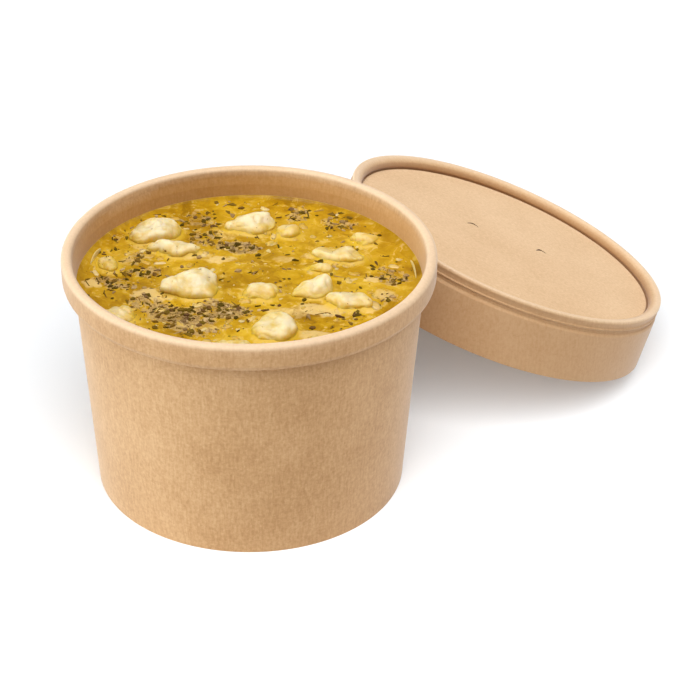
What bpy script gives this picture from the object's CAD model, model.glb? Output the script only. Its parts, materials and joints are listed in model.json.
"""Looks for an open paper soup cup, its soup and its leaning lid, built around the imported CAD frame.

Lengths are in metres in the row frame, except where a docstring says millimetres. The cup's own
axis comes from the frame, and the sizes below are the part's driving sizes, so each dressed piece
stands where its solid is. It differs from the solid by fine relief, such as folds and ripples, and
the lid's vent slits are wider and more arched than the solid's. The loose herbs and curds have no
solids of their own.
"""
from __future__ import annotations

import json
import logging
import math
from dataclasses import dataclass, field
from enum import Enum
from random import Random
from typing import Callable, Iterable, Sequence

import bmesh
import bpy
import numpy as np
from mathutils import Matrix, Vector, noise
from mathutils.bvhtree import BVHTree

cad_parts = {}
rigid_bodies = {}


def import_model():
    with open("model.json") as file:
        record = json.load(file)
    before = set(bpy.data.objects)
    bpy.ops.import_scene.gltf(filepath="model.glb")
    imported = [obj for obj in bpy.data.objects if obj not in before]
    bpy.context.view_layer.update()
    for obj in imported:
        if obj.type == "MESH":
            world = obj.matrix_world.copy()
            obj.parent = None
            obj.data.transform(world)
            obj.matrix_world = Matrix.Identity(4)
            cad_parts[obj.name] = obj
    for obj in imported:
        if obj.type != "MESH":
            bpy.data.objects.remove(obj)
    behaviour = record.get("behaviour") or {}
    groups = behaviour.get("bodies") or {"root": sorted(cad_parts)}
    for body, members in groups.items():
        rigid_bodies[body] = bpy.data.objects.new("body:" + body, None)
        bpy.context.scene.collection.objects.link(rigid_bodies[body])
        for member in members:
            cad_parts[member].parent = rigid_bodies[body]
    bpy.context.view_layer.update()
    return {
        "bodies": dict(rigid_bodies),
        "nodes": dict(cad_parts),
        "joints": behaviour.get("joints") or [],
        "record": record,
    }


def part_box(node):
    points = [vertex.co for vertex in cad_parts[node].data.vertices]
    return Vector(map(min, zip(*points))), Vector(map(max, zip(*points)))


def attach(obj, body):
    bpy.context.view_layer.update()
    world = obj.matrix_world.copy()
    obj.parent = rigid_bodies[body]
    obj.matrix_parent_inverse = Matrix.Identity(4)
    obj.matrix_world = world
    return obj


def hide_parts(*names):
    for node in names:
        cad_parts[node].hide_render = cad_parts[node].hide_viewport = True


MM = 0.001
log = logging.getLogger("soup_cup")

Colour = tuple[float, float, float]
Triple = tuple[float, float, float]
Profile = list[tuple[float, float]]
Warp = Callable[[float, float, float], tuple[float, float]]

JOIN_DISTANCE = 0.01 * MM
# Degrees between two faces above which their edge stays crisp.
CRISP_PAPER = 50.0
CRISP_BROTH = 60.0
# A turn in radians, as rounded for the scattered shapes and for the waves.
FULL_TURN = 6.2832
WAVE_TURN = 6.28
# Squared distance, in reaches, at which an oval patch has faded out.
PATCH_EDGE = 1.6


class Body(str, Enum):
    """CAD bodies that pieces ride on."""

    ROOT = "root"


class Slot(str, Enum):
    """Material slots of the record."""

    CUP = "cup_paper"
    LID = "lid_paper"
    SOUP = "soup"
    CHUNK = "chunk"
    STRIP = "strip"


class Shines(str, Enum):
    """What a studio light shines on, by the floor's link state."""

    ON_FLOOR = "INCLUDE"
    ON_OBJECT = "EXCLUDE"


def srgb(red: int, green: int, blue: int) -> Colour:
    """Turn a display colour into linear light.

    Args:
        red: Red from 0 to 255.
        green: Green from 0 to 255.
        blue: Blue from 0 to 255.

    Returns:
        The three linear values.
    """

    def channel(value: int) -> float:
        """Linear value of one display channel."""
        v = value / 255
        return v / 12.92 if v <= 0.04045 else ((v + 0.055) / 1.055) ** 2.4

    return channel(red), channel(green), channel(blue)


class Sock:
    """A shader socket that does maths with plain operators."""

    def __init__(self, shader: "Shader", socket: bpy.types.NodeSocket) -> None:
        """Keep the socket and the shader that its new nodes go into."""
        self.shader = shader
        self.socket = socket

    def _math(self, operation: str, *values: "Sock | float") -> "Sock":
        """Add one Math node on these values and give its result."""
        return self.shader.node("ShaderNodeMath", {"operation": operation}, dict(enumerate(values)))

    def __add__(self, other: "Sock | float") -> "Sock":
        """Sum."""
        return self._math("ADD", self, other)

    def __radd__(self, other: float) -> "Sock":
        """Sum, number first."""
        return self._math("ADD", other, self)

    def __sub__(self, other: "Sock | float") -> "Sock":
        """Difference."""
        return self._math("SUBTRACT", self, other)

    def __rsub__(self, other: float) -> "Sock":
        """Difference, number first."""
        return self._math("SUBTRACT", other, self)

    def __mul__(self, other: "Sock | float") -> "Sock":
        """Product."""
        return self._math("MULTIPLY", self, other)

    def __rmul__(self, other: float) -> "Sock":
        """Product, number first."""
        return self._math("MULTIPLY", other, self)

    def shift(self, other: "Sock", amount: float) -> "Sock":
        """Move this vector by another one, centred and scaled."""
        middle, push = (0.5, 0.5, 0.5), (amount, amount, amount)
        node = self.shader.node
        centred = node("ShaderNodeVectorMath", {"operation": "SUBTRACT"}, {0: other, 1: middle})
        return node("ShaderNodeVectorMath", {"operation": "MULTIPLY_ADD"}, {0: centred, 1: push, 2: self})

    def band(self, low: float, high: float) -> "Sock":
        """Map low to 0 and high to 1 with a smooth step, clamped at both ends."""
        settings = {"interpolation_type": "SMOOTHSTEP"}
        return self.shader.node("ShaderNodeMapRange", settings, {0: self, 1: low, 2: high, 3: 0.0, 4: 1.0})


class Shader:
    """One node material built from nodes that are made with type, settings and inputs."""

    def __init__(self, name: str) -> None:
        """Start an empty node material with this name."""
        self.material = bpy.data.materials.new(name)
        self.material.use_nodes = True
        self.tree = self.material.node_tree
        self.tree.nodes.clear()
        self.output = self.tree.nodes.new("ShaderNodeOutputMaterial")

    def node(
        self,
        kind: str,
        settings: dict[str, object] | None = None,
        inputs: dict[int | str, object] | None = None,
        out: int | str = 0,
    ) -> Sock:
        """Add a node of any type.

        Args:
            kind: The node's type name.
            settings: Properties, set before the sockets; "stops" fills a colour ramp.
            inputs: Socket values or links by index or name.
            out: The output socket to give back.

        Returns:
            The chosen output, ready for maths.
        """
        made = self.tree.nodes.new(kind)
        for key, value in (settings or {}).items():
            if key == "stops":
                self._fill_ramp(made.color_ramp, value)
            else:
                setattr(made, key, value)
        for key, value in (inputs or {}).items():
            if isinstance(value, Sock):
                self.tree.links.new(value.socket, made.inputs[key])
            elif isinstance(value, tuple) and len(value) == 3 and made.inputs[key].type == "RGBA":
                made.inputs[key].default_value = (*value, 1.0)
            else:
                made.inputs[key].default_value = value
        return Sock(self, made.outputs[out])

    @staticmethod
    def _fill_ramp(ramp: bpy.types.ColorRamp, stops: Sequence[tuple[float, Colour]]) -> None:
        """Give a ramp exactly these stops."""
        while len(ramp.elements) < len(stops):
            ramp.elements.new(0.5)
        for element, (place, colour) in zip(ramp.elements, stops):
            element.position = place
            element.color = (*colour, 1.0)

    def place(self, scale: Triple = (1.0, 1.0, 1.0), turn: Triple = (0.0, 0.0, 0.0)) -> Sock:
        """Object coordinates, stretched and turned."""
        raw = self.node("ShaderNodeTexCoord", out="Object")
        return self.node("ShaderNodeMapping", inputs={0: raw, "Scale": scale, "Rotation": turn})

    def noise(self, where: Sock, scale: float, detail: float = 3.0, rough: float = 0.5) -> Sock:
        """Noise from 0 to 1 at this scale per metre."""
        inputs = {"Vector": where, "Scale": scale, "Detail": detail, "Roughness": rough}
        return self.node("ShaderNodeTexNoise", inputs=inputs)

    def swirl(self, where: Sock, scale: float, amount: float) -> Sock:
        """Coordinates pushed about by noise, so that a pattern on them curls."""
        inputs = {"Vector": where, "Scale": scale, "Detail": 2.0}
        push = self.node("ShaderNodeTexNoise", inputs=inputs, out="Color")
        return where.shift(push, amount)

    def attribute(self, name: str) -> Sock:
        """A number stored on the mesh."""
        return self.node("ShaderNodeAttribute", {"attribute_name": name}, out="Fac")

    def ramp(self, value: Sock, stops: Sequence[tuple[float, Colour]]) -> Sock:
        """Colour of a value between the stops of a ramp."""
        return self.node("ShaderNodeValToRGB", {"stops": stops}, {0: value})

    def mix(self, factor: Sock | float, a: Sock | Colour, b: Sock | Colour) -> Sock:
        """Blend two colours, which are sockets 6 and 7 of the Mix node, with the result at 2."""
        return self.node("ShaderNodeMix", {"data_type": "RGBA"}, {0: factor, 6: a, 7: b}, out=2)

    def bump(self, height: Sock, strength: float, distance: float) -> Sock:
        """Normal from a height."""
        inputs = {"Strength": strength, "Distance": distance, "Height": height}
        return self.node("ShaderNodeBump", inputs=inputs)

    def surface(self, **inputs: object) -> bpy.types.Material:
        """Finish with a Principled surface; an underscore in a name stands for a space."""
        named = {key.replace("_", " "): value for key, value in inputs.items()}
        made = self.node("ShaderNodeBsdfPrincipled", inputs=named)
        self.tree.links.new(made.socket, self.output.inputs["Surface"])
        return self.material


@dataclass(frozen=True)
class KraftPaper:
    """Uncoated brown paper: short fibres all ways, faint clouds, fine tooth and a soft fuzz."""

    name: str
    base: Colour = srgb(189, 146, 97)
    pale: Colour = srgb(202, 161, 114)
    dark: Colour = srgb(172, 128, 79)
    dark_fibre: Colour = srgb(160, 116, 70)
    light_fibre: Colour = srgb(226, 192, 146)
    lining: Colour = srgb(178, 123, 48)
    crest: Colour = srgb(224, 198, 167)
    slit: Colour = srgb(84, 54, 28)
    rolled: Colour = srgb(152, 106, 60)
    cloud_scale: float = 42.0
    mottle_scale: float = 950.0
    fibre_scale: float = 1500.0
    fibre_squeeze: float = 0.16
    tooth_depth: float = 0.14 * MM

    def fibres(self, s: Shader, scale: Triple, turn: Triple) -> Sock:
        """Noise drawn out along one direction."""
        return s.noise(s.place(scale, turn), self.fibre_scale, 3, 0.6)

    def material(self) -> bpy.types.Material:
        """Build the paper."""
        s = Shader(self.name)
        flat = s.place()
        cloud = s.noise(flat, self.cloud_scale, 3, 0.55)
        mottle = s.noise(flat, self.mottle_scale, 4, 0.65)
        upright = self.fibres(s, (1.0, 1.0, self.fibre_squeeze), (0.0, 0.1, 0.0))
        level = self.fibres(s, (self.fibre_squeeze, 1.0, 1.0), (0.3, 0.0, 0.5))
        slanted = self.fibres(s, (1.0, self.fibre_squeeze, 1.0), (0.0, 0.6, -0.4))
        tone = 0.26 * cloud + 0.42 * mottle + 0.32 * upright
        colour = s.ramp(tone, [(0.38, self.dark), (0.5, self.base), (0.62, self.pale)])
        dark = level.band(0.62, 0.74) * 0.3 + upright.band(0.64, 0.76) * 0.2
        light = slanted.band(0.62, 0.74) * 0.26 + (1.0 - level).band(0.64, 0.76) * 0.22
        colour = s.mix(dark, colour, self.dark_fibre)
        colour = s.mix(light, colour, self.light_fibre)
        inside = s.attribute("inside")
        colour = s.mix(inside * 0.75, colour, s.mix(0.75, colour, self.lining))
        colour = s.mix(s.attribute("roll"), colour, self.rolled)
        pressed = s.attribute("crest")
        colour = s.mix(pressed * 0.5, colour, self.crest)
        colour = s.mix(s.attribute("cut") * 0.85, colour, self.slit)
        tooth = 0.4 * mottle + 0.3 * level + 0.3 * slanted
        return s.surface(
            Base_Color=colour,
            Roughness=0.66 + 0.16 * mottle - 0.2 * inside - 0.15 * pressed,
            Normal=s.bump(tooth, 0.4, self.tooth_depth),
            IOR=1.4,
            Sheen_Weight=0.3,
            Sheen_Roughness=0.45,
            Sheen_Tint=(1.0, 0.98, 0.95, 1.0),
        )


@dataclass(frozen=True)
class Broth:
    """Golden oily broth with curls of murk, pale food just under it and grey-brown herb mush."""

    name: str = "golden_broth"
    deep: Colour = srgb(134, 93, 2)
    warm: Colour = srgb(158, 114, 4)
    clear: Colour = srgb(178, 134, 14)
    glow: Colour = srgb(195, 153, 38)
    wisp: Colour = srgb(203, 165, 80)
    pale: Colour = srgb(208, 174, 108)
    mush: Colour = srgb(176, 142, 90)
    speck: Colour = srgb(92, 64, 10)
    fringe: Colour = srgb(198, 157, 32)
    slow_scale: float = 60.0
    fine_scale: float = 260.0
    curd_scale: float = 620.0
    grit_scale: float = 1500.0
    curl_scale: float = 90.0
    curl_push: float = 12.0 * MM
    fine_curl_scale: float = 300.0
    fine_curl_push: float = 4.0 * MM
    relief: float = 0.6 * MM

    def material(self) -> bpy.types.Material:
        """Build the broth."""
        s = Shader(self.name)
        flat = s.place()
        broad = s.swirl(flat, self.curl_scale, self.curl_push)
        curled = s.swirl(broad, self.fine_curl_scale, self.fine_curl_push)
        slow = s.noise(curled, self.slow_scale, 4, 0.55)
        fine = s.noise(curled, self.fine_scale, 5, 0.6)
        curd = s.noise(curled, self.curd_scale, 4, 0.6)
        stops = [(0.34, self.deep), (0.44, self.warm), (0.53, self.clear), (0.64, self.glow)]
        colour = s.ramp(0.55 * slow + 0.45 * fine, stops)
        wisps = (0.55 * fine + 0.45 * curd).band(0.53, 0.62)
        colour = s.mix(wisps * 0.5, colour, self.wisp)
        pale = (s.attribute("pale") + 1.0 * (fine - 0.5) + 0.6 * (curd - 0.5)).band(0.25, 0.9)
        colour = s.mix(pale * 0.8, colour, self.pale)
        colour = s.mix(s.attribute("near") * 0.8, colour, self.fringe)
        mush = (s.attribute("herb") + 1.7 * (curd - 0.5) + 1.3 * (fine - 0.5)).band(0.25, 0.75)
        colour = s.mix(mush * 0.75, colour, self.mush)
        grit = s.noise(curled, self.grit_scale, 3, 0.6)
        speck = (grit + 0.3 * s.attribute("herb")).band(0.66, 0.82)
        colour = s.mix(speck * 0.55, colour, self.speck)
        edge = s.attribute("edge")
        colour = s.mix(edge * 0.3, colour, self.deep)
        colour = s.mix(edge.band(0.84, 0.97) * 0.6, colour, self.pale)
        height = 0.6 * fine + 0.4 * curd
        return s.surface(
            Base_Color=colour,
            Roughness=0.24 + 0.2 * mush,
            Normal=s.bump(height, 0.35, self.relief),
            IOR=1.33,
            Specular_IOR_Level=0.4,
            Subsurface_Weight=0.1,
            Subsurface_Radius=(1.0, 0.5, 0.12),
            Subsurface_Scale=2.0 * MM,
            Coat_Weight=0.06,
            Coat_Roughness=0.08,
        )


@dataclass(frozen=True)
class CookedPiece:
    """Pale wet cooked piece, stained by the broth towards its waterline."""

    name: str
    waterline: float
    top: Colour = srgb(210, 192, 152)
    body: Colour = srgb(199, 170, 98)
    stain: Colour = srgb(194, 153, 34)
    vein: Colour = srgb(212, 180, 92)
    stain_low: float = 0.6 * MM
    stain_high: float = 4.4 * MM
    stain_waver: float = 2.6 * MM
    soft_scale: float = 230.0
    grain_scale: float = 900.0
    grain_stretch: Triple = (1.0, 0.4, 0.6)
    grain_turn: Triple = (0.3, 0.0, 0.5)
    relief: float = 0.3 * MM

    def material(self) -> bpy.types.Material:
        """Build the wet flesh."""
        s = Shader(self.name)
        raw = s.node("ShaderNodeTexCoord", out="Object")
        height = s.node("ShaderNodeSeparateXYZ", inputs={0: raw}, out="Z")
        flat = s.place()
        soft = s.noise(flat, self.soft_scale, 4, 0.6)
        grain = s.noise(s.place(self.grain_stretch, self.grain_turn), self.grain_scale, 3, 0.6)
        uneven = height + self.stain_waver * (soft - 0.5)
        rise = uneven.band(self.waterline + self.stain_low, self.waterline + self.stain_high)
        colour = s.mix(rise, self.stain, self.body)
        colour = s.mix(rise * soft.band(0.28, 0.6), colour, self.top)
        colour = s.mix((1.0 - grain).band(0.56, 0.76) * 0.16, colour, self.vein)
        return s.surface(
            Base_Color=colour,
            Roughness=0.34 + 0.16 * grain,
            Normal=s.bump(0.6 * soft + 0.4 * grain, 0.2, self.relief),
            IOR=1.4,
            Subsurface_Weight=0.75,
            Subsurface_Radius=(1.0, 0.75, 0.35),
            Subsurface_Scale=5.5 * MM,
            Coat_Weight=0.15,
            Coat_Roughness=0.15,
        )


@dataclass(frozen=True)
class Curd:
    """Small soft pale bits, some more stained than others."""

    name: str = "pale_curd"
    stained: Colour = srgb(180, 136, 30)
    soaked: Colour = srgb(192, 152, 66)
    pale: Colour = srgb(203, 176, 120)

    def material(self) -> bpy.types.Material:
        """Build the curd."""
        s = Shader(self.name)
        stops = [(0.0, self.stained), (0.5, self.soaked), (1.0, self.pale)]
        return s.surface(
            Base_Color=s.ramp(s.attribute("tint"), stops),
            Roughness=0.35,
            IOR=1.38,
            Subsurface_Weight=0.4,
            Subsurface_Radius=(1.0, 0.7, 0.35),
            Subsurface_Scale=1.5 * MM,
            Coat_Weight=0.2,
        )


@dataclass(frozen=True)
class HerbLeaf:
    """Wet dried herb, from olive brown to grey brown, one tint for each flake."""

    name: str = "wet_herb"
    vein: Colour = srgb(54, 38, 4)
    vein_scale: float = 2400.0
    relief: float = 0.2 * MM

    def material(self) -> bpy.types.Material:
        """Build the leaf."""
        s = Shader(self.name)
        stops = [
            (0.0, srgb(66, 48, 4)),
            (0.3, srgb(98, 76, 12)),
            (0.5, srgb(118, 86, 22)),
            (0.7, srgb(88, 58, 30)),
            (0.86, srgb(156, 124, 76)),
            (1.0, srgb(184, 152, 104)),
        ]
        colour = s.ramp(s.attribute("tint"), stops)
        vein = s.noise(s.place(), self.vein_scale, 2, 0.5)
        colour = s.mix(vein.band(0.5, 0.7) * 0.3, colour, self.vein)
        return s.surface(
            Base_Color=colour,
            Roughness=0.6,
            Normal=s.bump(vein, 0.3, self.relief),
            IOR=1.3,
            Specular_IOR_Level=0.15,
        )


@dataclass(frozen=True)
class PaleStrip:
    """Thin translucent vegetable strip."""

    name: str = "pale_strip"
    dull: Colour = srgb(196, 168, 92)
    bright: Colour = srgb(216, 194, 136)
    grain_scale: float = 700.0
    grain_stretch: Triple = (1.0, 1.0, 4.0)
    relief: float = 0.2 * MM

    def material(self) -> bpy.types.Material:
        """Build the strip."""
        s = Shader(self.name)
        grain = s.noise(s.place(self.grain_stretch), self.grain_scale, 3, 0.5)
        return s.surface(
            Base_Color=s.mix(grain, self.dull, self.bright),
            Roughness=0.3,
            Normal=s.bump(grain, 0.2, self.relief),
            IOR=1.4,
            Subsurface_Weight=0.3,
            Subsurface_Radius=(1.0, 0.8, 0.5),
            Subsurface_Scale=1.5 * MM,
            Coat_Weight=0.3,
        )


@dataclass(frozen=True)
class StudioFloor:
    """Plain pale floor, lifted a little for the camera alone so that shadows stay light."""

    name: str = "studio_floor"
    lift: float = 0.08
    lift_tint: Colour = (0.94, 0.98, 1.0)
    bounced: Colour = (0.79, 0.8, 0.82)
    seen: Colour = (0.78, 0.8, 0.82)
    unlit: Colour = (0.0, 0.0, 0.0)

    def material(self) -> bpy.types.Material:
        """Build the floor."""
        s = Shader(self.name)
        seen = s.node("ShaderNodeLightPath", out="Is Camera Ray")
        glow = tuple(tint * self.lift for tint in self.lift_tint)
        return s.surface(
            Base_Color=s.mix(seen, self.bounced, self.seen),
            Roughness=0.9,
            Specular_IOR_Level=0.1,
            Emission_Color=s.mix(seen, self.unlit, glow),
            Emission_Strength=1.0,
        )


def link(name: str, data: bpy.types.ID) -> bpy.types.Object:
    """Put a mesh, camera or light into the scene as an object."""
    made = bpy.data.objects.new(name, data)
    bpy.context.scene.collection.objects.link(made)
    return made


def new_piece(
    name: str, mesh: bpy.types.Mesh, material: bpy.types.Material
) -> bpy.types.Object:
    """Put a finished mesh into the scene and ride it on the one body.

    Args:
        name: The piece's name.
        mesh: Its mesh, already in place.
        material: Its finish.

    Returns:
        The new object.
    """
    piece = link(name, mesh)
    mesh.materials.clear()
    mesh.materials.append(material)
    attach(piece, Body.ROOT.value)
    return piece


def to_mesh(name: str, bm: bmesh.types.BMesh) -> bpy.types.Mesh:
    """Turn a bmesh into a mesh and free it."""
    mesh = bpy.data.meshes.new(name)
    bm.to_mesh(mesh)
    bm.free()
    return mesh


def plain_mesh(holder: bpy.types.Object, all_layers: bool = False) -> bpy.types.Mesh:
    """Mesh of an object with its modifiers applied.

    Args:
        holder: The object, which stays as it is.
        all_layers: Keep data layers too that the view and the render don't need.

    Returns:
        The plain mesh.
    """
    graph = bpy.context.evaluated_depsgraph_get()
    return bpy.data.meshes.new_from_object(
        holder.evaluated_get(graph), preserve_all_data_layers=all_layers, depsgraph=graph
    )


def rounded_copy(node: bpy.types.Object, levels: int) -> bpy.types.Mesh:
    """Copy a solid's mesh, join its loose triangles and round it.

    Args:
        node: The CAD object, which stays as it is.
        levels: How often the copy is subdivided.

    Returns:
        The rounded mesh.
    """
    bm = bmesh.new()
    bm.from_mesh(node.data)
    bmesh.ops.remove_doubles(bm, verts=bm.verts, dist=JOIN_DISTANCE)
    holder = link("solid_copy", to_mesh("solid_copy", bm))
    smooth = holder.modifiers.new("round", "SUBSURF")
    smooth.levels = smooth.render_levels = levels
    mesh = plain_mesh(holder)
    bpy.data.objects.remove(holder)
    return mesh


def shade_smooth(mesh: bpy.types.Mesh, sharp_degrees: float = 180.0) -> None:
    """Smooth shading, with edges sharper than an angle kept crisp."""
    mesh.polygons.foreach_set("use_smooth", [True] * len(mesh.polygons))
    if sharp_degrees < 180.0:
        mesh.set_sharp_from_angle(angle=math.radians(sharp_degrees))


def fillet(corners: Sequence[Triple], steps: int = 5) -> Profile:
    """Round the corners of an open profile.

    Args:
        corners: Points as radius, height and rounding radius.
        steps: Points along each rounding.

    Returns:
        The rounded profile as radius and height.
    """
    out: Profile = []
    last = len(corners) - 1
    for i, (r, z, round_radius) in enumerate(corners):
        here = Vector((r, z))
        if i in (0, last) or round_radius <= 0.0:
            out.append((r, z))
            continue
        before = Vector(corners[i - 1][:2]) - here
        after = Vector(corners[i + 1][:2]) - here
        turn = math.pi - before.angle(after)
        reach = round_radius * math.tan(turn / 2)
        reach = min(reach, 0.48 * before.length, 0.48 * after.length)
        a = here + before.normalized() * reach
        b = here + after.normalized() * reach
        for k in range(steps + 1):
            t = k / steps
            q = a * (1 - t) ** 2 + here * (2 * t * (1 - t)) + b * t**2
            out.append((q.x, q.y))
    return out


def subdivide_profile(profile: Profile, longest: float) -> Profile:
    """Add points so that no step of a profile is longer than this."""
    out: Profile = [profile[0]]
    for (r0, z0), (r1, z1) in zip(profile, profile[1:]):
        parts = max(1, math.ceil(math.hypot(r1 - r0, z1 - z0) / longest))
        out.extend((r0 + (r1 - r0) * k / parts, z0 + (z1 - z0) * k / parts) for k in range(1, parts + 1))
    return out


def store(mesh: bpy.types.Mesh, name: str, values: np.ndarray) -> None:
    """Keep one number for each point of a mesh."""
    layer = mesh.attributes.new(name, "FLOAT", "POINT")
    layer.data.foreach_set("value", values.astype(np.float32))


def revolve(name: str, profile: Profile, segments: int, warp: Warp | None = None) -> bpy.types.Mesh:
    """Turn a profile that starts and ends on the axis about z.

    Args:
        name: The mesh's name.
        profile: Radius and height of each point, first and last on the axis.
        segments: Faces round the axis.
        warp: Gives a new radius and height for an angle, radius and height.

    Returns:
        A closed mesh with its faces outward.
    """
    bm = bmesh.new()
    first = bm.verts.new((0.0, 0.0, profile[0][1]))
    rings = []
    for r, z in profile[1:-1]:
        ring = []
        for i in range(segments):
            angle = 2 * math.pi * i / segments
            rr, zz = warp(angle, r, z) if warp else (r, z)
            ring.append(bm.verts.new((rr * math.cos(angle), rr * math.sin(angle), zz)))
        rings.append(ring)
    last = bm.verts.new((0.0, 0.0, profile[-1][1]))
    for i in range(segments):
        j = (i + 1) % segments
        bm.faces.new((first, rings[0][i], rings[0][j]))
        for low, high in zip(rings, rings[1:]):
            bm.faces.new((low[i], high[i], high[j], low[j]))
        bm.faces.new((last, rings[-1][j], rings[-1][i]))
    bmesh.ops.recalc_face_normals(bm, faces=bm.faces)
    return to_mesh(name, bm)


def waver(seed: int, terms: int = 5) -> Callable[[float], float]:
    """A smooth repeatable wave round a circle.

    Args:
        seed: Which wave.
        terms: How many harmonics it has.

    Returns:
        A function of the angle with values from about -1 to 1.
    """
    dice = Random(seed)
    parts = []
    for k in range(1, terms + 1):
        rate = k + dice.randint(0, 1)
        phase = dice.uniform(0, WAVE_TURN)
        parts.append((rate, phase, dice.uniform(0.4, 1.0) / k))
    total = sum(size for _, _, size in parts)
    return lambda angle: sum(size * math.sin(rate * angle + phase) for rate, phase, size in parts) / total


@dataclass
class PaperCup:
    """The tapered cup: wall, base disc on its foot ring, and rolled rim with its broad band."""

    height: float = 78.6 * MM
    rim_radius: float = 57.5 * MM
    band_bottom: float = 70.7 * MM
    wall_top_radius: float = 53.9 * MM
    base_radius: float = 48.55 * MM
    paper: float = 0.6 * MM
    foot_height: float = 6.0 * MM
    foot_inner_radius: float = 47.1 * MM
    base_disc: float = 0.8 * MM
    lip_inner_radius: float = 54.4 * MM
    rim_rise: float = 0.16 * MM
    rim_bulge: float = 0.12 * MM
    band_dip: float = 0.22 * MM
    wall_bulge: float = 0.05 * MM
    crease_width: float = 0.22 * MM
    segments: int = 288
    axis: Vector = field(default_factory=Vector)

    def __post_init__(self) -> None:
        """Take the cup's axis from the frame."""
        low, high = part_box("cup")
        self.axis = Vector(((low.x + high.x) / 2, (low.y + high.y) / 2, low.z))

    def wall_radius(self, z: float | np.ndarray) -> float | np.ndarray:
        """Outer radius of the wall at a height, or at many."""
        return self.base_radius + (self.wall_top_radius - self.base_radius) * z / self.band_bottom

    def inner_radius(self, z: float) -> float:
        """Inner radius of the wall at a height."""
        return self.wall_radius(z) - self.paper

    def profile(self) -> Profile:
        """Section of the cup from the base's underside round to its top."""
        disc_top = self.foot_height + self.base_disc
        corners = [
            (0.0, self.foot_height, 0.0),
            (self.foot_inner_radius, self.foot_height, 0.4 * MM),
            (self.foot_inner_radius, 0.0, 0.3 * MM),
            (self.base_radius, 0.0, 0.35 * MM),
            (self.wall_radius(self.band_bottom), self.band_bottom, 0.35 * MM),
            (self.rim_radius - 0.5 * MM, self.band_bottom - 0.1 * MM, 0.6 * MM),
            (self.rim_radius - 0.1 * MM, self.band_bottom + 1.2 * MM, 1.0 * MM),
            (self.rim_radius - 0.02 * MM, self.height - 3.2 * MM, 6.0 * MM),
            (self.rim_radius, self.height, 1.9 * MM),
            (self.lip_inner_radius - 0.1 * MM, self.height, 1.4 * MM),
            (self.lip_inner_radius - 0.4 * MM, self.height - 2.8 * MM, 1.2 * MM),
            (self.inner_radius(self.height - 5.5 * MM), self.height - 5.5 * MM, 2.0 * MM),
            (self.inner_radius(disc_top), disc_top, 0.6 * MM),
            (0.0, disc_top, 0.0),
        ]
        return subdivide_profile(fillet(corners, 6), 4.0 * MM)

    def warp(self) -> Warp:
        """Small unevenness of the rolled rim and of the band's lower edge."""
        lip_wave, band_wave, wall_wave = waver(3), waver(8, 7), waver(5, 3)

        def bend(angle: float, r: float, z: float) -> tuple[float, float]:
            """Move one point of the section."""
            up = max(0.0, (z - self.band_bottom + 1.0 * MM) / (self.height - self.band_bottom))
            if up <= 0.0:
                return r + self.wall_bulge * wall_wave(angle) * min(1.0, z / (20 * MM)), z
            low = max(0.0, 1.0 - up * 2.2)
            dz = self.rim_rise * lip_wave(angle) * min(1.0, up) + self.band_dip * band_wave(angle) * low
            return r + self.rim_bulge * lip_wave(angle + 0.7) * min(1.0, up), z + dz

        return bend

    def mark(self, mesh: bpy.types.Mesh) -> None:
        """Store which points belong to the lined inner face, the pressed top of the rim and the band."""
        co = np.array([v.co[:] for v in mesh.vertices])
        radius, z = np.hypot(co[:, 0], co[:, 1]), co[:, 2]
        skin = self.wall_radius(z)
        lined = (radius < skin - 0.4 * self.paper) & (z > self.foot_height + 0.5 * self.base_disc)
        fade = np.clip((self.height - 1.5 * MM - z) / (2.0 * MM), 0.0, 1.0)
        store(mesh, "inside", lined * fade)
        band = np.clip((z - self.band_bottom + 0.4 * MM) / (0.6 * MM), 0.0, 1.0) * (radius > skin)
        top = np.clip((z - self.height + 1.7 * MM) / (1.2 * MM), 0.0, 1.0)
        store(mesh, "crest", top)
        crease = np.exp(-(((z - self.band_bottom) / self.crease_width) ** 2))
        crease = crease * (radius < skin + 0.5 * MM) * (1.0 - lined)
        store(mesh, "roll", np.maximum(0.12 * band * (1.0 - top), 0.8 * crease))

    def build(self) -> bpy.types.Object:
        """Make and dress the cup."""
        mesh = revolve("paper_cup", self.profile(), self.segments, self.warp())
        self.mark(mesh)
        mesh.transform(Matrix.Translation(self.axis))
        shade_smooth(mesh, CRISP_PAPER)
        paper = KraftPaper("kraft_cup").material()
        piece = new_piece("paper_cup", mesh, paper)
        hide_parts("cup")
        log.info("cup: %d faces", len(mesh.polygons))
        return piece


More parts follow.
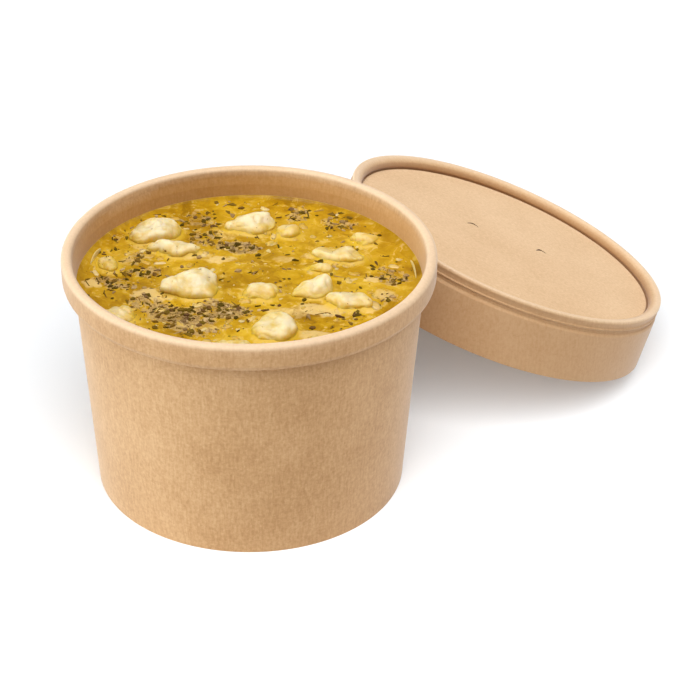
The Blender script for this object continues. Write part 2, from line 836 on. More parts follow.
@dataclass
class LeaningLid:
    """The lid: recessed panel with two crescent vents, rolled bead, seat band and flared skirt."""

    bead_radius: float = 56.64 * MM
    skirt_radius: float = 58.08 * MM
    skirt_drop: float = 21.5 * MM
    panel_drop: float = 2.6 * MM
    panel_thickness: float = 0.7 * MM
    panel_radius: float = 52.6 * MM
    tilt_degrees: float = 22.34
    heading_degrees: float = 19.75
    centre_from_cup: Triple = (84.01 * MM, 76.96 * MM, 41.89 * MM)
    vents: tuple[tuple[tuple[float, float], tuple[float, float]], ...] = (
        ((-9.9 * MM, 11.4 * MM), (-6.1 * MM, 9.9 * MM)),
        ((13.4 * MM, 0.9 * MM), (17.1 * MM, 0.2 * MM)),
    )
    vent_width: float = 1.1 * MM
    vent_arch: float = 1.5 * MM
    vent_above: float = 1.0 * MM
    vent_below: float = 2.0 * MM
    skirt_waver: float = 0.12 * MM
    skirt_pull: float = 0.1 * MM
    bead_waver: float = 0.07 * MM
    crest_shade: float = 0.7
    inner_shade: float = 0.85
    outer_shade: float = 0.44
    segments: int = 288

    def lean(self, cup: PaperCup) -> Matrix:
        """Placement of the lid's own frame."""
        spot = Matrix.Translation(cup.axis + Vector(self.centre_from_cup))
        turn = Matrix.Rotation(math.radians(self.heading_degrees), 4, "Z")
        tip = Matrix.Rotation(math.radians(self.tilt_degrees), 4, "Y")
        return spot @ turn @ tip

    def profile(self) -> Profile:
        """Section of the lid from the panel's underside round to its top."""
        under = -self.panel_drop - self.panel_thickness
        bead, skirt, drop = self.bead_radius, self.skirt_radius, self.skirt_drop
        inner = bead - 3.75 * MM
        corners = [
            (0.0, under, 0.0),
            (self.panel_radius - 0.4 * MM, under, 0.3 * MM),
            (self.panel_radius + 0.1 * MM, under - 0.7 * MM, 0.2 * MM),
            (bead - 1.0 * MM, under - 0.6 * MM, 0.4 * MM),
            (bead - 1.3 * MM, under - 1.4 * MM, 0.3 * MM),
            (skirt - 0.65 * MM, -drop, 0.2 * MM),
            (skirt - 0.05 * MM, -drop, 0.25 * MM),
            (bead + 0.4 * MM, -4.85 * MM, 0.3 * MM),
            (bead + 0.1 * MM, -4.35 * MM, 0.15 * MM),
            (bead - 0.45 * MM, -4.0 * MM, 0.25 * MM),
            (bead - 0.5 * MM, -2.95 * MM, 0.25 * MM),
            (bead + 0.02 * MM, -2.65 * MM, 0.18 * MM),
            (bead + 0.08 * MM, -2.3 * MM, 0.15 * MM),
            (bead - 0.3 * MM, -2.0 * MM, 0.15 * MM),
            (bead - 0.25 * MM, -1.2 * MM, 0.4 * MM),
            (bead + 0.05 * MM, -0.2 * MM, 0.5 * MM),
            (bead - 0.1 * MM, 0.85 * MM, 0.7 * MM),
            (bead - 1.6 * MM, 0.75 * MM, 1.2 * MM),
            (inner + 0.5 * MM, -0.15 * MM, 1.2 * MM),
            (inner - 0.1 * MM, -1.9 * MM, 0.8 * MM),
            (inner + 0.45 * MM, -self.panel_drop - 0.05 * MM, 0.3 * MM),
            (inner + 0.4 * MM, -self.panel_drop - 0.65 * MM, 0.2 * MM),
            (inner - 0.15 * MM, -self.panel_drop - 0.65 * MM, 0.2 * MM),
            (inner - 0.4 * MM, -self.panel_drop, 0.3 * MM),
            (0.0, -self.panel_drop, 0.0),
        ]
        return subdivide_profile(fillet(corners, 6), 5.0 * MM)

    def warp(self) -> Warp:
        """Slight waviness of the skirt's edge and of the bead."""
        edge_wave, bead_wave = waver(21, 4), waver(34, 6)

        def bend(angle: float, r: float, z: float) -> tuple[float, float]:
            """Move one point of the section."""
            low = min(1.0, max(0.0, -z / self.skirt_drop))
            high = 1.0 if r > self.panel_radius else 0.0
            shove = (self.skirt_waver * edge_wave(angle) * low - self.skirt_pull * low) * high
            return r + shove, z + self.bead_waver * bead_wave(angle) * high

        return bend

    def vent_cutter(self, start: tuple[float, float], end: tuple[float, float]) -> bpy.types.Object:
        """A bent bar that cuts one crescent slit.

        Args:
            start: First end of the slit in the lid's plane.
            end: Other end of the slit.

        Returns:
            The cutting object, for a Boolean.
        """
        steps = 10
        a, b = Vector(start), Vector(end)
        side = Vector((a.y - b.y, b.x - a.x)).normalized()
        upper, lower = [], []
        for k in range(steps + 1):
            t = k / steps
            swell = math.sin(math.pi * t)
            middle = a.lerp(b, t) + side * self.vent_arch * swell
            half = self.vent_width * (0.45 + 0.55 * swell) / 2
            upper.append(middle + side * half)
            lower.append(middle - side * half)
        outline = upper + lower[::-1]
        bm = bmesh.new()
        low = [bm.verts.new((p.x, p.y, -self.panel_drop - self.vent_below)) for p in outline]
        high = [bm.verts.new((p.x, p.y, -self.panel_drop + self.vent_above)) for p in outline]
        bm.faces.new(low[::-1])
        bm.faces.new(high)
        for k in range(len(outline)):
            n = (k + 1) % len(outline)
            bm.faces.new((low[k], low[n], high[n], high[k]))
        bmesh.ops.recalc_face_normals(bm, faces=bm.faces)
        return link("vent_cutter", to_mesh("vent_cutter", bm))

    def mark_folds(self, mesh: bpy.types.Mesh) -> None:
        """Store which points belong to the bead's crest, to its darker inner side and to the skirt."""
        co = np.array([v.co[:] for v in mesh.vertices])
        radius, z = np.hypot(co[:, 0], co[:, 1]), co[:, 2]
        store(mesh, "crest", self.crest_shade * np.clip((z - 0.1 * MM) / (0.5 * MM), 0.0, 1.0))
        bead = (radius > self.panel_radius + 0.15 * MM) & (radius < self.bead_radius - 0.8 * MM)
        sunk = np.clip((0.8 * MM - z) / (2.2 * MM), 0.0, 1.0)
        inner = bead * (z > -self.panel_drop - 0.7 * MM) * self.inner_shade * sunk
        lower = np.clip((0.3 * MM - z) / (0.6 * MM), 0.0, 1.0)
        outer = self.outer_shade * (radius > self.bead_radius - 0.9 * MM) * lower
        store(mesh, "roll", np.maximum(inner, outer))

    def mark_slits(self, mesh: bpy.types.Mesh) -> None:
        """Store which faces are the cut edges of the vents."""
        layer = mesh.attributes.new("cut", "FLOAT", "FACE")
        within = 0.8 * self.panel_radius
        walls = [abs(face.normal.z) < 0.5 and face.center.xy.length < within for face in mesh.polygons]
        layer.data.foreach_set("value", np.array(walls, np.float32))

    def build(self, cup: PaperCup) -> bpy.types.Object:
        """Make and dress the lid where it leans."""
        mesh = revolve("paper_lid", self.profile(), self.segments, self.warp())
        self.mark_folds(mesh)
        holder = link("lid_blank", mesh)
        cutters = [self.vent_cutter(*vent) for vent in self.vents]
        for cutter in cutters:
            cut = holder.modifiers.new("vent", "BOOLEAN")
            cut.operation = "DIFFERENCE"
            cut.object = cutter
        cut_mesh = plain_mesh(holder)
        for scrap in (holder, *cutters):
            bpy.data.objects.remove(scrap)
        self.mark_slits(cut_mesh)
        cut_mesh.transform(self.lean(cup))
        shade_smooth(cut_mesh, CRISP_PAPER)
        paper = KraftPaper(
            "kraft_lid",
            base=srgb(208, 169, 124),
            pale=srgb(217, 180, 137),
            dark=srgb(197, 156, 110),
            light_fibre=srgb(230, 200, 158),
        ).material()
        piece = new_piece("paper_lid", cut_mesh, paper)
        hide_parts("lid")
        log.info("lid: %d faces", len(cut_mesh.polygons))
        return piece


@dataclass(frozen=True)
class Patch:
    """A soft-edged oval on the soup's surface, in millimetres and degrees in the cup's own axes."""

    x: float
    y: float
    reach_x: float
    reach_y: float
    turn: float = 0.0
    weight: float = 1.0

    def value(self, x: np.ndarray, y: np.ndarray) -> np.ndarray:
        """Strength at each point, full in the middle and fading to nothing a little past the reach."""
        c, s = math.cos(math.radians(self.turn)), math.sin(math.radians(self.turn))
        dx, dy = x - self.x * MM, y - self.y * MM
        u = (dx * c + dy * s) / (self.reach_x * MM)
        v = (dy * c - dx * s) / (self.reach_y * MM)
        return self.weight * np.clip(PATCH_EDGE - u * u - v * v, 0.0, 1.0)


PALE_PATCHES = (
    Patch(-27.5, -10.8, 7.0, 3.4, -4),
    Patch(-16.8, 13.8, 5.5, 2.2, 6, 0.8),
    Patch(22.2, -18.8, 7.5, 3.2, -6),
    Patch(21.0, -32.9, 6.5, 2.6, -14, 0.9),
    Patch(-48.0, -4.5, 3.0, 3.0, -30, 0.9),
    Patch(37.3, 0.4, 3.0, 1.8, 0, 0.9),
    Patch(41.0, -8.5, 3.2, 3.4, 20, 0.7),
    Patch(37.3, -16.6, 3.0, 2.6, 20, 0.8),
    Patch(-9.2, 11.5, 4.5, 2.0, 0, 0.8),
    Patch(-9.1, 27.0, 4.0, 2.8, 0, 0.5),
    Patch(10.1, 12.1, 3.6, 2.6, 0, 0.55),
    Patch(-31.0, 17.5, 8.0, 3.0, -20, 0.7),
    Patch(-12.0, -30.0, 6.5, 2.6, -8, 0.55),
    Patch(12.0, -21.0, 6.5, 3.0, -12, 0.7),
    Patch(20.5, 15.0, 4.5, 2.6, 30, 0.8),
    Patch(-37.0, 10.5, 6.0, 3.0, 30, 0.55),
)

HERB_PATCHES = (
    Patch(-20.5, -22.5, 12.0, 5.2, -18, 1.0),
    Patch(-30.5, -16.0, 6.0, 4.2, -30, 0.75),
    Patch(-7.4, -19.0, 8.0, 4.6, -8, 1.0),
    Patch(-16.0, -30.5, 9.0, 3.0, -16, 0.6),
    Patch(-5.0, 19.8, 7.0, 3.4, 0, 1.0),
    Patch(-15.0, 24.5, 5.0, 5.0, -60, 0.6),
    Patch(-35.0, 12.0, 6.5, 3.6, 40, 0.5),
    Patch(-41.5, -3.6, 6.5, 3.4, -20, 0.8),
    Patch(-33.0, 3.0, 6.0, 3.4, 10, 0.55),
    Patch(14.2, 42.0, 3.4, 5.6, -10, 0.7),
    Patch(-17.5, 38.0, 5.0, 5.6, 50, 0.5),
    Patch(27.5, 36.0, 6.5, 3.2, -20, 0.55),
    Patch(43.5, 3.0, 4.6, 6.4, 20, 0.6),
    Patch(43.0, -11.0, 3.6, 3.0, 0, 0.4),
    Patch(31.0, -21.5, 5.0, 2.4, -20, 0.35),
    Patch(-43.0, 24.0, 4.0, 4.0, 0, 0.3),
)


def grainy(x: np.ndarray, y: np.ndarray, per_mm: float, seed: float) -> np.ndarray:
    """Smooth noise over the surface, about -1 to 1.

    Args:
        x: Distances from the cup's axis.
        y: Distances from the cup's axis.
        per_mm: How fine the noise is.
        seed: Which noise.

    Returns:
        One value for each point.
    """
    points = np.stack([x, y], 1) / MM * per_mm
    return np.array([noise.fractal(Vector((px, py, seed)), 1.0, 2.0, 3) for px, py in points])


@dataclass
class SoupSurface:
    """The broth: level with slow ripples, wetting the wall and the pieces."""

    level: float = 68.5 * MM
    meniscus: float = 0.9 * MM
    ripple: float = 0.22 * MM
    climb: float = 0.7 * MM
    climb_reach: float = 0.9 * MM
    slab_rise: float = 0.35 * MM
    into_wall: float = 0.25 * MM
    far: float = 12.0 * MM
    sunk: float = 0.4 * MM
    sunk_fade: float = 0.8 * MM
    wall_climb_reach: float = 1.1 * MM
    wall_tint_reach: float = 2.2 * MM
    pale_reach: float = 2.6 * MM
    fringe_reach: float = 1.3 * MM
    drift_relief: float = 0.16 * MM
    pale_fringe: float = 0.45
    patch_waver_x: float = 1.6 * MM
    patch_waver_y: float = 1.2 * MM
    waver_per_mm: float = 0.28
    clump_per_mm: float = 0.42
    clump_swing: float = 0.9
    clump_floor: float = 0.35
    slab_per_mm: float = 0.5
    drift_per_mm: float = 1.1
    ring_crowding: float = 0.93
    rings: int = 140
    segments: int = 448
    depth: float = 8.0 * MM

    def gap(
        self, x: np.ndarray, y: np.ndarray, cup: PaperCup, flesh: Iterable[bpy.types.Object]
    ) -> np.ndarray:
        """Distance of points on the level from the nearest piece.

        Args:
            x: Distances from the cup's axis.
            y: Distances from the cup's axis.
            cup: The cup that the broth is in.
            flesh: The pieces.

        Returns:
            The distance of each point, negative inside a piece.
        """
        out = np.full(len(x), self.far)
        for piece in flesh:
            bm = bmesh.new()
            bm.from_mesh(piece.data)
            tree = BVHTree.FromBMesh(bm)
            bm.free()
            co = np.array([v.co[:] for v in piece.data.vertices]) - np.array(cup.axis)
            low, high = co.min(0) - self.far / 2, co.max(0) + self.far / 2
            near = np.nonzero((x > low[0]) & (x < high[0]) & (y > low[1]) & (y < high[1]))[0]
            for i in near:
                spot = cup.axis + Vector((x[i], y[i], self.level))
                place, normal, _, away = tree.find_nearest(spot, self.far)
                if place is not None:
                    out[i] = min(out[i], away if (spot - place).dot(normal) > 0.0 else -away)
        return out

    def height(self, x: np.ndarray, y: np.ndarray, reach: float, gap: np.ndarray) -> np.ndarray:
        """Height of the broth.

        Args:
            x: Distances from the cup's axis.
            y: Distances from the cup's axis.
            reach: Radius at which the broth meets the paper.
            gap: Distances from the pieces, which it climbs a little.

        Returns:
            The height of each point.
        """
        mx, my = x / MM, y / MM
        wave = np.sin(mx * 0.21 + 1.3) * np.cos(my * 0.17 - 0.4)
        wave += 0.6 * np.sin(mx * 0.11 - my * 0.23 + 2.1) + 0.35 * np.sin(mx * 0.43 + my * 0.37)
        edge = np.exp(-np.maximum(reach - np.hypot(x, y), 0.0) / self.wall_climb_reach)
        z = self.level + self.ripple * wave * (1 - edge) + self.meniscus * edge
        outside = np.exp(-np.maximum(gap, -self.sunk) / self.climb_reach)
        lift = outside * np.exp(np.minimum(gap + self.sunk, 0.0) / self.sunk_fade)
        return z + self.climb * lift * (1 - edge)

    def fields(self, x: np.ndarray, y: np.ndarray, reach: float, gap: np.ndarray) -> dict[str, np.ndarray]:
        """How pale, how herby and how near the wall and the pieces each point is.

        Args:
            x: Distances from the cup's axis.
            y: Distances from the cup's axis.
            reach: Radius of the broth's edge.
            gap: Distances from the pieces.

        Returns:
            One set of values for each attribute of the mesh.
        """
        wobble_x = x + self.patch_waver_x * grainy(x, y, self.waver_per_mm, 1.5)
        wobble_y = y + self.patch_waver_y * grainy(x, y, self.waver_per_mm, 7.5)
        outside = np.maximum(gap, 0.0)
        pale = self.pale_fringe * np.exp(-((outside / self.pale_reach) ** 2))
        for patch in PALE_PATCHES:
            pale = np.maximum(pale, patch.value(wobble_x, wobble_y))
        herb = np.zeros(len(x))
        for patch in HERB_PATCHES:
            herb = np.maximum(herb, patch.value(wobble_x, wobble_y))
        clumps = 0.5 + self.clump_swing * grainy(x, y, self.clump_per_mm, 3.3)
        herb = herb * np.clip(clumps + self.clump_floor, 0.0, 1.0)
        edge = np.exp(-np.maximum(reach - np.hypot(x, y), 0.0) / self.wall_tint_reach)
        near = np.exp(-((outside / self.fringe_reach) ** 2))
        return {"pale": pale, "herb": herb, "edge": edge, "near": near, "gap": gap / MM}

    def close(
        self, x: np.ndarray, y: np.ndarray, z: np.ndarray, angles: np.ndarray, low_radius: float
    ) -> tuple[list[tuple[float, ...]], list[tuple[int, ...]]]:
        """Points and faces of a closed body of broth under its surface.

        Args:
            x: Distances of the surface's points from the cup's axis.
            y: Distances of the surface's points from the cup's axis.
            z: Heights of the surface's points.
            angles: Angles of the points of one ring.
            low_radius: Radius of the flat underside.

        Returns:
            The points, those of the surface first, and the faces.
        """
        n = self.segments
        faces: list[tuple[int, ...]] = [(0, 1 + i, 1 + (i + 1) % n) for i in range(n)]
        for k in range(self.rings - 1):
            a, b = 1 + k * n, 1 + (k + 1) * n
            faces.extend((a + i, b + i, b + (i + 1) % n, a + (i + 1) % n) for i in range(n))
        rim = 1 + (self.rings - 1) * n
        verts = [tuple(p) for p in np.stack([x, y, z], 1)]
        bottom = len(verts)
        low_z = self.level - self.depth
        verts.extend((low_radius * math.cos(a), low_radius * math.sin(a), low_z) for a in angles)
        middle = len(verts)
        verts.append((0.0, 0.0, low_z))
        for i in range(n):
            j = (i + 1) % n
            faces.append((rim + i, bottom + i, bottom + j, rim + j))
            faces.append((bottom + i, middle, bottom + j))
        return verts, faces

    def build(self, cup: PaperCup, flesh: list[bpy.types.Object]) -> bpy.types.Object:
        """Make and dress the broth with its pale and herby places stored on the mesh."""
        reach = cup.inner_radius(self.level) + self.into_wall
        radii = reach * np.linspace(0, 1, self.rings + 1)[1:] ** self.ring_crowding
        angles = np.linspace(0, 2 * math.pi, self.segments, endpoint=False)
        rr, aa = np.meshgrid(radii, angles, indexing="ij")
        x = np.concatenate([[0.0], (rr * np.cos(aa)).ravel()])
        y = np.concatenate([[0.0], (rr * np.sin(aa)).ravel()])
        gap = self.gap(x, y, cup, flesh)
        z = self.height(x, y, cup.inner_radius(self.level), gap)
        fields = self.fields(x, y, reach, gap)
        slabs = np.zeros(len(x))
        for patch in PALE_PATCHES:
            slabs = np.maximum(slabs, patch.value(x, y))
        uneven = 0.75 + 0.5 * grainy(x, y, self.slab_per_mm, 5.5)
        z += self.slab_rise * slabs * uneven * (1 - fields["edge"])
        z += self.drift_relief * fields["herb"] * grainy(x, y, self.drift_per_mm, 9.1)
        low_radius = cup.inner_radius(self.level - self.depth) + self.into_wall
        verts, faces = self.close(x, y, z, angles, low_radius)
        mesh = bpy.data.meshes.new("broth")
        mesh.from_pydata(verts, [], faces)
        for name, values in fields.items():
            store(mesh, name, np.concatenate([values, np.zeros(len(verts) - len(values))]))
        mesh.transform(Matrix.Translation(cup.axis))
        shade_smooth(mesh, CRISP_BROTH)
        piece = new_piece("broth", mesh, Broth().material())
        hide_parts("soup")
        log.info("broth: %d faces", len(mesh.polygons))
        return piece


@dataclass
class CookedPieces:
    """The fifteen pale pieces, each grown from its own solid into soft flaky flesh.

    Depths of the folds are in millimetres.
    """

    nodes: tuple[str, ...] = (
        "chunk_back_left", "chunk_back_left_low", "chunk_back", "chunk_back_small", "chunk_left",
        "chunk_middle_left", "chunk_middle", "chunk_right_peak", "chunk_right", "chunk_back_right",
        "chunk_back_right_small", "chunk_right_low", "chunk_front", "chunk_front_left", "chunk_left_front",
    )
    levels: int = 3
    seed_steps: Triple = (3.7, 1.9, 5.3)
    fold_per_mm: float = 0.2
    fold_depth: float = 1.0
    crease_per_mm: float = 0.27
    crease_depth: float = 0.9
    crease_cap: float = 0.4
    lump_per_mm: Triple = (0.7, 0.5, 0.7)
    lump_depth: float = 0.06
    sink: float = 0.2

    def flesh(self, node: bpy.types.Object, seed: int) -> bpy.types.Mesh:
        """Round a solid and give it folds and flakes.

        Args:
            node: The CAD object whose shape the piece keeps.
            seed: Which set of folds it gets.

        Returns:
            The finished mesh.
        """
        mesh = rounded_copy(node, self.levels)
        shift = Vector([seed * step for step in self.seed_steps])
        normals = [v.normal.copy() for v in mesh.vertices]
        for vert, normal in zip(mesh.vertices, normals):
            p = vert.co / MM
            fold = noise.noise(p * self.fold_per_mm + shift)
            crease = abs(noise.noise(p * self.crease_per_mm + shift * 2))
            lump = noise.noise(Vector([c * rate for c, rate in zip(p, self.lump_per_mm)]) + shift)
            ridge = self.crease_depth * min(crease, self.crease_cap)
            push = self.fold_depth * fold + ridge - self.sink + self.lump_depth * lump
            vert.co += normal * MM * push
        return mesh

    def build(self, frame: dict, cup: PaperCup, soup: SoupSurface) -> list[bpy.types.Object]:
        """Make and dress every piece."""
        finish = CookedPiece("cooked_flesh", cup.axis.z + soup.level).material()
        made = []
        for seed, name in enumerate(self.nodes, 1):
            mesh = self.flesh(frame["nodes"][name], seed)
            shade_smooth(mesh)
            piece = new_piece("flesh_" + name.removeprefix("chunk_"), mesh, finish)
            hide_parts(name)
            made.append(piece)
        log.info("pieces: %d", len(made))
        return made


@dataclass
class PaleStrips:
    """Two thin strips that stand in the broth by the wall."""

    nodes: tuple[str, ...] = ("strip_left", "strip_right")
    levels: int = 2

    def build(self, frame: dict) -> None:
        """Round each strip's solid and dress it."""
        finish = PaleStrip().material()
        for name in self.nodes:
            mesh = rounded_copy(frame["nodes"][name], self.levels)
            shade_smooth(mesh)
            piece = new_piece("pale_" + name, mesh, finish)
            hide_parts(name)
        log.info("strips: %d", len(self.nodes))


class ScatterTree:
    """A Geometry Nodes tree that lays small shapes on a surface where an attribute says so."""

    def __init__(self, name: str, shapes: bpy.types.Collection, material: bpy.types.Material) -> None:
        """Build the tree.

        Args:
            name: The tree's name.
            shapes: The few shapes to choose from.
            material: Their finish.
        """
        self.tree = bpy.data.node_groups.new(name, "GeometryNodeTree")
        face = self.tree.interface
        face.new_socket("Geometry", in_out="INPUT", socket_type="NodeSocketGeometry")
        self.inputs: dict[str, str] = {}
        for label, kind, value in (
            ("Density", "NodeSocketFloat", 1.0e6),
            ("Smallest", "NodeSocketFloat", 0.5),
            ("Largest", "NodeSocketFloat", 1.0),
            ("Tip", "NodeSocketFloat", 0.3),
            ("Rarity", "NodeSocketFloat", 1.0),
            ("Seed", "NodeSocketInt", 1),
        ):
            socket = face.new_socket(label, in_out="INPUT", socket_type=kind)
            socket.default_value = value
            self.inputs[label] = socket.identifier
        face.new_socket("Geometry", in_out="OUTPUT", socket_type="NodeSocketGeometry")
        self._wire(shapes, material)

    def node(
        self, kind: str, settings: dict[str, object], inputs: dict[int | str, object]
    ) -> bpy.types.Node:
        """Add a node of any type.

        Args:
            kind: The node's type name.
            settings: Properties, set before the sockets.
            inputs: Socket values or links by index or name.

        Returns:
            The new node.
        """
        made = self.tree.nodes.new(kind)
        for key, value in settings.items():
            setattr(made, key, value)
        for key, value in inputs.items():
            if isinstance(value, bpy.types.NodeSocket):
                self.tree.links.new(value, made.inputs[key])
            else:
                made.inputs[key].default_value = value
        return made

    def maths(self, operation: str, a: object, b: object) -> bpy.types.NodeSocket:
        """One Math node's result."""
        return self.node("ShaderNodeMath", {"operation": operation}, {0: a, 1: b}).outputs[0]

    def dice(self, seed: int, low: object = 0.0, high: object = 1.0) -> bpy.types.NodeSocket:
        """A random number for each point, whose limits are sockets 2 and 3."""
        inputs = {2: low, 3: high, "Seed": seed}
        return self.node("FunctionNodeRandomValue", {"data_type": "FLOAT"}, inputs).outputs[1]

    def _wire(self, shapes: bpy.types.Collection, material: bpy.types.Material) -> None:
        """Points by density, a random shape on each, turned, tipped, sized, tinted and made real."""
        given = self.node("NodeGroupInput", {}, {}).outputs
        mask = self.node("GeometryNodeInputNamedAttribute", {"data_type": "FLOAT"}, {"Name": "scatter"})
        density = self.maths("MULTIPLY", given["Density"], mask.outputs[0])
        points = self.node(
            "GeometryNodeDistributePointsOnFaces",
            {"distribute_method": "RANDOM"},
            {"Mesh": given["Geometry"], "Density": density, "Seed": given["Seed"]},
        )
        named = self.node(
            "GeometryNodeStoreNamedAttribute",
            {"data_type": "FLOAT", "domain": "POINT"},
            {"Geometry": points.outputs["Points"], "Name": "tint", "Value": self.dice(11)},
        )
        source = self.node(
            "GeometryNodeCollectionInfo",
            {"transform_space": "ORIGINAL"},
            {"Collection": shapes, "Separate Children": True, "Reset Children": True},
        )
        spin = self.dice(5, 0.0, FULL_TURN)
        tip, back = given["Tip"], self.maths("MULTIPLY", given["Tip"], -1.0)
        angles = {0: self.dice(7, back, tip), 1: self.dice(9, back, tip), 2: spin}
        euler = self.node("ShaderNodeCombineXYZ", {}, angles)
        turn = self.node("FunctionNodeEulerToRotation", {}, {0: euler.outputs[0]})
        laid = self.node(
            "FunctionNodeRotateRotation",
            {"rotation_space": "LOCAL"},
            {0: points.outputs["Rotation"], 1: turn.outputs[0]},
        )
        rare = self.maths("POWER", self.dice(3), given["Rarity"])
        size = self.node("ShaderNodeMapRange", {}, {0: rare, 3: given["Smallest"], 4: given["Largest"]})
        placed = self.node(
            "GeometryNodeInstanceOnPoints",
            {},
            {
                "Points": named.outputs[0],
                "Instance": source.outputs[0],
                "Pick Instance": True,
                "Rotation": laid.outputs[0],
                "Scale": size.outputs[0],
            },
        )
        real = self.node("GeometryNodeRealizeInstances", {}, {0: placed.outputs[0]})
        inputs = {"Geometry": real.outputs[0], "Material": material}
        dressed = self.node("GeometryNodeSetMaterial", {}, inputs)
        out = self.tree.nodes.new("NodeGroupOutput")
        self.tree.links.new(dressed.outputs[0], out.inputs[0])

    def grow(
        self, ground: bpy.types.Mesh, weights: np.ndarray, settings: dict[str, float | int]
    ) -> bpy.types.Mesh:
        """Lay the shapes on a copy of a surface.

        Args:
            ground: The surface.
            weights: How dense the shapes are at each of its points, 0 to 1.
            settings: Values of the tree's named inputs.

        Returns:
            The shapes alone, as one plain mesh.
        """
        copy = ground.copy()
        store(copy, "scatter", weights)
        holder = link("scatter_ground", copy)
        modifier = holder.modifiers.new("scatter", "NODES")
        modifier.node_group = self.tree
        for label, value in settings.items():
            modifier[self.inputs[label]] = value
        mesh = plain_mesh(holder, all_layers=True)
        bpy.data.objects.remove(holder)
        return mesh


@dataclass
class Sprinkles:
    """What floats on the broth: herb flakes in drifts and small pale curds.

    Densities are per square metre.
    """

    flake_size: float = 1.0 * MM
    flake_density: float = 1.25e6
    stray: float = 0.06
    curd_size: float = 1.0 * MM
    curd_density: float = 0.08e6
    curd_floor: float = 0.25
    curd_from_wall: float = 3.0 * MM
    flake_from_wall: float = 1.6 * MM
    clear_of_piece: float = 0.15
    surface_depth: float = 5.0 * MM
    piece_top: float = 2.6 * MM
    piece_share: float = 0.03
    flake_kinds: int = 6
    curd_kinds: int = 4
    flake_seed: int = 40
    stalk_seed: int = 90
    curd_seed: int = 70
    piece_seed: int = 20

    def flake(self, seed: int) -> bpy.types.Object:
        """One small torn leaf with a slight curl.

        Args:
            seed: Which leaf.

        Returns:
            The leaf object, lying in its own plane.
        """
        dice = Random(seed)
        corners = dice.randint(5, 7)
        stretch = dice.uniform(0.3, 0.85)
        thick = 0.08 * self.flake_size
        bm = bmesh.new()
        low, high = [], []
        for k in range(corners):
            angle = 2 * math.pi * (k + dice.uniform(-0.28, 0.28)) / corners
            r = self.flake_size * dice.uniform(0.4, 1.0)
            x, y = r * math.cos(angle), r * stretch * math.sin(angle)
            lift = 0.14 * self.flake_size * dice.uniform(0.0, 1.6)
            low.append(bm.verts.new((x, y, -thick)))
            high.append(bm.verts.new((x * 0.9, y * 0.9, thick + lift)))
        middle = bm.verts.new((0.0, 0.0, thick * dice.uniform(0.5, 2.0)))
        bm.faces.new(low[::-1])
        for k in range(corners):
            n = (k + 1) % corners
            bm.faces.new((low[k], low[n], high[n], high[k]))
            bm.faces.new((high[k], high[n], middle))
        bmesh.ops.recalc_face_normals(bm, faces=bm.faces)
        return self.shape(f"flake_{seed}", bm)

    def stalk(self, seed: int) -> bpy.types.Object:
        """One thin broken stalk."""
        dice = Random(seed)
        bm = bmesh.new()
        bmesh.ops.create_cone(
            bm,
            cap_ends=True,
            segments=5,
            radius1=0.14 * self.flake_size,
            radius2=0.09 * self.flake_size,
            depth=dice.uniform(1.8, 2.6) * self.flake_size,
            matrix=Matrix.Rotation(math.pi / 2, 4, "Y"),
        )
        return self.shape(f"stalk_{seed}", bm)

    def curd(self, seed: int) -> bpy.types.Object:
        """One small flat lump."""
        dice = Random(seed)
        bm = bmesh.new()
        bmesh.ops.create_icosphere(bm, subdivisions=2, radius=self.curd_size)
        stretch = dice.uniform(0.5, 0.9)
        for vert in bm.verts:
            push = 1.0 + 0.75 * noise.noise(vert.co / self.curd_size * 1.1 + Vector((seed * 1.7, 0, 0)))
            low = vert.co.z * 0.22 * push - 0.06 * self.curd_size
            vert.co = Vector((vert.co.x * push, vert.co.y * push * stretch, low))
        return self.shape(f"curd_{seed}", bm)

    @staticmethod
    def shape(name: str, bm: bmesh.types.BMesh) -> bpy.types.Object:
        """Turn a bmesh into a loose object."""
        return bpy.data.objects.new(name, to_mesh(name, bm))

    @staticmethod
    def collect(name: str, shapes: Iterable[bpy.types.Object]) -> bpy.types.Collection:
        """Put loose shapes into a collection of their own."""
        collection = bpy.data.collections.new(name)
        for shape in shapes:
            collection.objects.link(shape)
        return collection

    @staticmethod
    def clear(collection: bpy.types.Collection) -> None:
        """Drop a collection with its shapes."""
        for shape in list(collection.objects):
            bpy.data.objects.remove(shape)
        bpy.data.collections.remove(collection)

    @staticmethod
    def read(broth: bpy.types.Object, name: str) -> np.ndarray:
        """Values that are stored on the broth's points."""
        values = np.zeros(len(broth.data.vertices), np.float32)
        broth.data.attributes[name].data.foreach_get("value", values)
        return values

    def free_water(self, axis: Vector, reach: float, broth: bpy.types.Object) -> np.ndarray:
        """Where something may float.

        Args:
            axis: A point on the cup's axis.
            reach: How far from the axis it may lie.
            broth: The finished broth.

        Returns:
            For each of the broth's points 1 in the open, and 0 under pieces, at the wall and below.
        """
        co = np.array([v.co[:] for v in broth.data.vertices])
        x, y, z = co[:, 0] - axis.x, co[:, 1] - axis.y, co[:, 2]
        open_water = (np.hypot(x, y) < reach) & (z > z.max() - self.surface_depth)
        return (open_water & (self.read(broth, "gap") > self.clear_of_piece)).astype(float)

    def build(
        self, cup: PaperCup, soup: SoupSurface, broth: bpy.types.Object, flesh: list[bpy.types.Object]
    ) -> None:
        """Scatter herbs and curds and dress them."""
        wall = cup.inner_radius(soup.level)
        pale = self.curd_floor + self.read(broth, "pale")
        self.curds(broth, pale * self.free_water(cup.axis, wall - self.curd_from_wall, broth))
        drifts = np.maximum(self.read(broth, "herb"), self.stray)
        free = self.free_water(cup.axis, wall - self.flake_from_wall, broth)
        self.herbs(broth, flesh, drifts * free)

